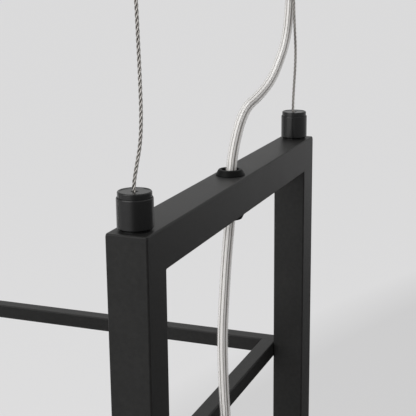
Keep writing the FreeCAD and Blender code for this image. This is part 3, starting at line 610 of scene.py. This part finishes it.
stems, filaments, supports = [], [], []
for number, x in enumerate(LAMP_X, 1):
    foot = Vector((x, 0, BULB_FOOT))
    stem = lathe(f"bulb_stem_{number}", foot, STEM, sides=STEM_SIDES, solid=True)
    filament = bent_wire(f"bulb_filament_{number}", [filament_points()], FILAMENT, foot)
    hooks = [
        [Vector((0, 0, LOW_ROOT if k % 2 else HIGH_ROOT)), tip]
        for k, tip in enumerate(filament_points())
    ]
    support = bent_wire(f"bulb_hooks_{number}", hooks + [ring_line(*COLLAR)], HOOK_WIRE, foot)
    for piece, group in ((stem, stems), (filament, filaments), (support, supports)):
        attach(piece, "frame")
        group.append(piece)
print(len(filaments), "filaments of", len(filament_points()) - 1, "runs")

# %% [markdown]
# ## Shader maths as Python
# A finish is a tree of nodes. The small class Flow wraps a socket and lets Python's operators add
# the Math nodes. Nodes holds a tree, and its method add makes every other node, with its settings
# first and its inputs after. Finish is the Nodes of a material, with its main shader at hand.

# %% A class for sockets, one for trees and one for materials
class Flow:
    """An output of a node, on which Python's operators do maths."""

    def __init__(self, owner, socket):
        self.owner, self.socket = owner, socket

    def beside(self, output):
        """Another output of the same node."""
        return Flow(self.owner, self.socket.node.outputs[output])

    def maths(self, operation, *values):
        return self.owner.add("ShaderNodeMath", {"operation": operation}, dict(enumerate(values)))

    def __add__(self, other):
        return self.maths("ADD", self, other)

    def __mul__(self, other):
        return self.maths("MULTIPLY", self, other)

    __radd__ = __add__
    __rmul__ = __mul__


class Nodes:
    """A tree of nodes, and the one method that adds to it."""

    def __init__(self, tree):
        self.tree = tree

    def add(self, kind, settings=None, inputs=None, output=0):
        node = self.tree.nodes.new(kind)
        for name, value in (settings or {}).items():
            if name == "stops":
                self.ramp(node.color_ramp.elements, value)
            else:
                setattr(node, name, value)
        for name, value in (inputs or {}).items():
            self.feed(node.inputs[name], value)
        return Flow(self, node.outputs[output])

    def ramp(self, elements, stops):
        while len(elements) < len(stops):
            elements.new(1.0)
        for element, (position, colour) in zip(elements, stops):
            element.position = position
            element.color = (*colour, 1)

    def feed(self, socket, value):
        if isinstance(value, Flow):
            self.tree.links.new(value.socket, socket)
        else:
            socket.default_value = value

    def place(self):
        return self.add("ShaderNodeTexCoord", output="Object")

    def noise(self, scale, detail=2.0, rough=0.5, where=None):
        vector = where or self.place()
        return self.add(
            "ShaderNodeTexNoise", None,
            {"Vector": vector, "Scale": scale, "Detail": detail, "Roughness": rough},
        )

    def stretched(self, x, y, z):
        return self.add("ShaderNodeMapping", None, {"Vector": self.place(), "Scale": (x, y, z)})

    def bump(self, height, strength, distance):
        return self.add(
            "ShaderNodeBump", None,
            {"Height": height, "Strength": strength, "Distance": distance},
        )

    def shade(self, mask, dark, light, low=0.0, high=1.0):
        """One colour where the mask is low, the other where it is high."""
        stops = [(low, dark), (high, light)]
        return self.add("ShaderNodeValToRGB", {"stops": stops}, {"Fac": mask})


class Finish(Nodes):
    """A material with its main shader."""

    def __init__(self, name, **constants):
        self.material = bpy.data.materials.new(name)
        self.material.use_nodes = True
        super().__init__(self.material.node_tree)
        self.shader = self.tree.nodes["Principled BSDF"]
        for socket, value in constants.items():
            self.shader.inputs[socket.replace("_", " ")].default_value = value

    def set(self, **flows):
        for name, flow in flows.items():
            self.feed(self.shader.inputs[name.replace("_", " ")], flow)


print("classes for shaders: Flow, Nodes, Finish")

# %% [markdown]
# ## The black finishes
# The tubes have a fine-textured powder coat: grains a third of a millimetre across that scatter
# the light, a mottling over two or three millimetres and a faint cloudiness over a few
# centimetres. The turned grips are smoother, a satin black plating with the lathe's fine rings,
# and the bushes are moulded rubber with a soft gloss. Layers of noise make all of these, so no
# picture is needed.

# %% Powder coat
def powder_coat():
    finish = Finish("powder_coat", Specular_IOR_Level=0.17)
    grain = finish.noise(2600, detail=3.0, rough=0.6)
    cloud = finish.noise(38, detail=2.0)
    patches = finish.noise(420, detail=2.0)
    tone = grain * 0.45 + cloud * 0.20 + patches * 0.35
    finish.set(
        Base_Color=finish.shade(
            tone, dark=(0.003, 0.003, 0.0029), light=(0.033, 0.0326, 0.0317),
        ),
        Roughness=grain * 0.12 + cloud * 0.06 + 0.31,
        Normal=finish.bump(grain, strength=0.45, distance=0.00012),
    )
    return finish.material


coat = powder_coat()
print("finish of the tubes:", coat.name)


# %% Satin plating, rubber and plastics
def satin_black():
    finish = Finish("satin_black", Specular_IOR_Level=0.40)
    rings = finish.noise(60, detail=3.0, where=finish.stretched(1, 1, 90))
    specks = finish.noise(1500, detail=2.0)
    finish.set(
        Base_Color=finish.shade(
            specks * 0.6 + rings * 0.4,
            dark=(0.004, 0.004, 0.0039), light=(0.010, 0.010, 0.0102),
        ),
        Roughness=rings * 0.08 + specks * 0.04 + 0.16,
        Normal=finish.bump(rings, strength=0.08, distance=0.00005),
    )
    return finish.material


def moulded(name, dark, light, rough, grain=900, **constants):
    """A moulded or sleeved surface: a fine grain in its colour, its gloss and its height."""
    finish = Finish(name, **constants)
    fine = finish.noise(grain, detail=2.0)
    wide = finish.noise(grain / 18, detail=2.0)
    finish.set(
        Base_Color=finish.shade(fine * 0.5 + wide * 0.5, dark, light),
        Roughness=fine * 0.10 + wide * 0.08 + (rough - 0.09),
        Normal=finish.bump(fine, strength=0.15, distance=0.00008),
    )
    return finish.material


def metal(name, dark, light, rough, scale=500):
    """A metal with fine marks and faint stains."""
    finish = Finish(name, Metallic=1.0)
    marks = finish.noise(scale, detail=3.0)
    stains = finish.noise(60, detail=2.0)
    finish.set(
        Base_Color=finish.shade(marks * 0.4 + stains * 0.6, dark, light),
        Roughness=marks * 0.14 + stains * 0.08 + (rough - 0.11),
        Normal=finish.bump(marks, strength=0.1, distance=0.00004),
    )
    return finish.material


plating = satin_black()
rubber = moulded(
    "bush_rubber", (0.002, 0.002, 0.002), (0.006, 0.006, 0.0058), 0.42,
    grain=1400, Specular_IOR_Level=0.10,
)
print("black finishes:", plating.name, rubber.name)

# %% [markdown]
# ## The steel wire, the clear cord and the glass
# The wire is drawn steel, and its strands are real shapes, so it darkens by itself where they
# meet. The cord's sheath is clear PVC, so it is a thin glossy skin that lets most of what is
# under it through. The cores are pale, faintly ribbed by the fine strands inside them, and
# painted shade on their own UV map darkens them on the side that is turned to the cord's middle,
# where they meet. The bulbs are clear glass.

# %% Wire, cord and glass
def sheath_finish():
    finish = Finish("clear_sheath", IOR=1.46)
    haze = finish.noise(160, detail=2.0)
    rim = finish.add("ShaderNodeLayerWeight", None, {"Blend": 0.35}, output="Facing")
    finish.set(
        Base_Color=finish.shade(haze, dark=(0.74, 0.715, 0.69), light=(0.88, 0.865, 0.845)),
        Roughness=haze * 0.10 + 0.12,
        Alpha=rim * 0.40 + haze * 0.06 + 0.08,
    )
    return finish.material


FULL_TURN = 6.2832
RIBS_ROUND, RIBS_PER_METRE = 6, 700


def core_finish():
    finish = Finish(
        "cord_cores", Specular_IOR_Level=0.35, Subsurface_Weight=0.6,
        Subsurface_Scale=0.0012, Subsurface_Radius=(1.0, 1.0, 1.0),
    )
    around = finish.add("ShaderNodeSeparateXYZ", None, {
        "Vector": finish.add("ShaderNodeUVMap", {"uv_map": "UVMap"}),
    })
    along = around.beside("Y")
    # Painted shade: this mask darkens each core's base colour on its side turned to the cord's
    # middle, where the cores meet.
    painted_inward_shade = around.maths("COSINE", around * FULL_TURN)
    ribs = around.maths("SINE", (around * RIBS_ROUND + along * RIBS_PER_METRE) * FULL_TURN)
    haze = finish.noise(220, detail=2.0)
    finish.set(
        Base_Color=finish.shade(
            painted_inward_shade * 0.5 + haze * 0.08 + ribs * 0.02 + 0.45,
            dark=(0.20, 0.18, 0.16), light=(0.91, 0.895, 0.875), low=0.35, high=0.56,
        ),
        Roughness=haze * 0.12 + 0.30,
    )
    return finish.material


sheath = sheath_finish()
core = core_finish()
steel = metal("drawn_steel", (0.28, 0.262, 0.245), (0.58, 0.56, 0.535), 0.42, scale=1500)
glass = Finish(
    "clear_glass", Roughness=0.02, IOR=1.48, Transmission_Weight=1.0,
    Base_Color=(0.97, 0.98, 0.98, 1),
).material
print("clear finishes:", sheath.name, core.name, steel.name, glass.name)

# %% Metals and plastics of the small pieces
nickel = metal("nickel_plate", (0.50, 0.49, 0.46), (0.70, 0.69, 0.66), 0.28)
zinc = metal("zinc_plate", (0.42, 0.43, 0.45), (0.68, 0.69, 0.71), 0.40, scale=90)
spring = metal("spring_steel", (0.30, 0.30, 0.30), (0.60, 0.60, 0.60), 0.32)
tungsten = metal("filament_wire", (0.22, 0.20, 0.18), (0.45, 0.42, 0.38), 0.40)
plastic = moulded("black_plastic", (0.010, 0.010, 0.010), (0.024, 0.024, 0.024), 0.50)
block = moulded("white_plastic", (0.66, 0.65, 0.62), (0.82, 0.81, 0.78), 0.42)
sleeve = moulded("lead_sleeve", (0.62, 0.60, 0.55), (0.80, 0.78, 0.74), 0.55)
print("metals:", nickel.name, zinc.name, spring.name, tungsten.name)
print("plastics:", plastic.name, block.name, sleeve.name)

# %% [markdown]
# ## Dress every piece
# Each node of the construction that still shows takes a finish by its name, and each new piece
# gets its own. Only the clear glass has one plain colour.

# %% Which finish goes where
BY_NAME = {
    "rail": coat, "beam": coat, "cup": coat, "canopy_cover": coat, "canopy_screws": plating,
    "wire_outlets": plating, "insert_nuts": plating, "ferrules": nickel, "nipples": nickel,
    "caps": nickel, "inserts": plastic, "gland": plastic, "terminal": block, "bracket": zinc,
    "leads": sleeve, "bulb_glass": glass, "grip_spring": spring, "grip_balls": spring,
}


def dress(items, material):
    for item in items:
        item.data.materials.clear()
        item.data.materials.append(material)


dressed = 0
for name, node in nodes.items():
    for word, material in BY_NAME.items():
        if word in name:
            dress([node], material)
            dressed += 1
            break
dress(end_frames.values(), coat)
dress(barrels + buttons, plating)
dress(coils, spring)
dress(bushes, rubber)
dress([upper_sheath, lower_sheath], sheath)
dress([upper_cores, lower_cores], core)
dress(wires.values(), steel)
dress(stems, glass)
dress(supports, nickel)
dress(filaments, tungsten)
print(dressed, "nodes of the construction dressed")

# %% [markdown]
# ## The studio
# The lamp hangs over a plain pale floor in soft light. The light comes mostly from above and from
# the left, as from a large window, so that the tubes' tops are the lightest and the right-hand
# sides fall dark. The floor's paleness is its own colour, seen by the camera and in reflections.
# A plain pale floor would leave the tubes' right-hand sides lighter than they are in the photo,
# so the floor has a wide dark patch on the right: reflections see it whole, and the camera sees
# only the faint shade that the photo's background has at its lower right.

# %% Floor and background
FLOOR_Z = -1.30
FLOOR_SIZE, FLOOR_MIDDLE, FLOOR_CUTS = 80, (0, 20, FLOOR_Z), 8
# The patch is painted shade in the floor's glow: reflections carry it onto the tubes' right-hand
# sides, and the camera sees a faint painted shade at the lower right.
PATCH_MIDDLE, PATCH_REACH = (3.2, -0.5, FLOOR_Z), (3.9, 6.5, 1)
LEAST_FOR_CAMERA = 0.925  # the camera never sees a point nearer the patch's middle than this
start_fresh()
bpy.ops.mesh.primitive_grid_add(
    x_subdivisions=FLOOR_CUTS, y_subdivisions=FLOOR_CUTS, size=FLOOR_SIZE, location=FLOOR_MIDDLE,
)
floor = settle(bpy.context.object)
floor.name = "floor"


def pale_to_the_eye(stage, lit, shown, output):
    """Mixes what lights the scene with what camera, glossy and transmission rays are shown."""
    camera_ray = stage.add("ShaderNodeLightPath", output="Is Camera Ray")
    seen = camera_ray
    for ray in ("Is Glossy Ray", "Is Transmission Ray"):
        seen = seen.maths("MAXIMUM", seen, camera_ray.beside(ray))
    mix = stage.add("ShaderNodeMixShader", None, {0: seen, 1: lit, 2: shown})
    stage.feed(stage.tree.nodes[output].inputs[0], mix)


ground = Finish(
    "floor_paper", Roughness=0.9, Base_Color=(0.68, 0.675, 0.675, 1), Specular_IOR_Level=0.1,
)
lit_ground = Flow(ground, ground.shader.outputs[0])
camera_ray = ground.add("ShaderNodeLightPath", output="Is Camera Ray")
spot = ground.add("ShaderNodeMapping", {"vector_type": "TEXTURE"}, {
    "Vector": ground.place(), "Location": PATCH_MIDDLE, "Scale": PATCH_REACH,
})
reach = ground.add("ShaderNodeVectorMath", {"operation": "LENGTH"}, {0: spot}, output="Value")
away = reach.maths("MAXIMUM", reach, camera_ray * LEAST_FOR_CAMERA)
glow = ground.add("ShaderNodeEmission", None, {
    "Color": ground.shade(
        away, dark=(0.05, 0.05, 0.05), light=(0.75, 0.748, 0.752), low=0.64, high=0.98,
    ),
})
mostly_glow = ground.add("ShaderNodeMixShader", None, {0: 0.9, 1: lit_ground, 2: glow})
pale_to_the_eye(ground, lit_ground, mostly_glow, "Material Output")
dress([floor], ground.material)

world = bpy.data.worlds.new("studio")
world.use_nodes = True
bpy.context.scene.world = world
sky = Nodes(world.node_tree)
around = sky.add("ShaderNodeBackground", None, {
    "Color": (0.72, 0.72, 0.725, 1), "Strength": 0.60,
})
tone = sky.shade(
    sky.add("ShaderNodeLightPath", output="Is Camera Ray"),
    dark=(0.54, 0.54, 0.54), light=(0.73, 0.73, 0.73),
)
behind = sky.add("ShaderNodeBackground", None, {"Color": tone})
pale_to_the_eye(sky, around, behind, "World Output")
print("floor", FLOOR_SIZE, "m wide, at", FLOOR_Z, "m")


# %% Two soft lamps
LAMPS = {
    "top_lamp": {"place": (0.3, 0.7, 1.8), "target": (0.3, 0.0, -0.3), "size": 2.0, "power": 34},
    "window_lamp": {
        "place": (-0.5, -2.1, 0.6), "target": (0.5, 0.0, -0.3), "size": 2.6, "power": 46,
    },
}


def soft_lamp(name, place, target, size, power):
    lamp = bpy.data.objects.new(name, bpy.data.lights.new(name, "AREA"))
    lamp.data.size = size
    lamp.data.energy = power
    lamp.location = place
    lamp.rotation_euler = (Vector(target) - Vector(place)).to_track_quat("-Z", "Y").to_euler()
    bpy.context.scene.collection.objects.link(lamp)


for name, setting in LAMPS.items():
    soft_lamp(name, **setting)
bpy.context.scene.view_settings.view_transform = "Standard"
print("studio: floor, background and", len(LAMPS), "lamps")
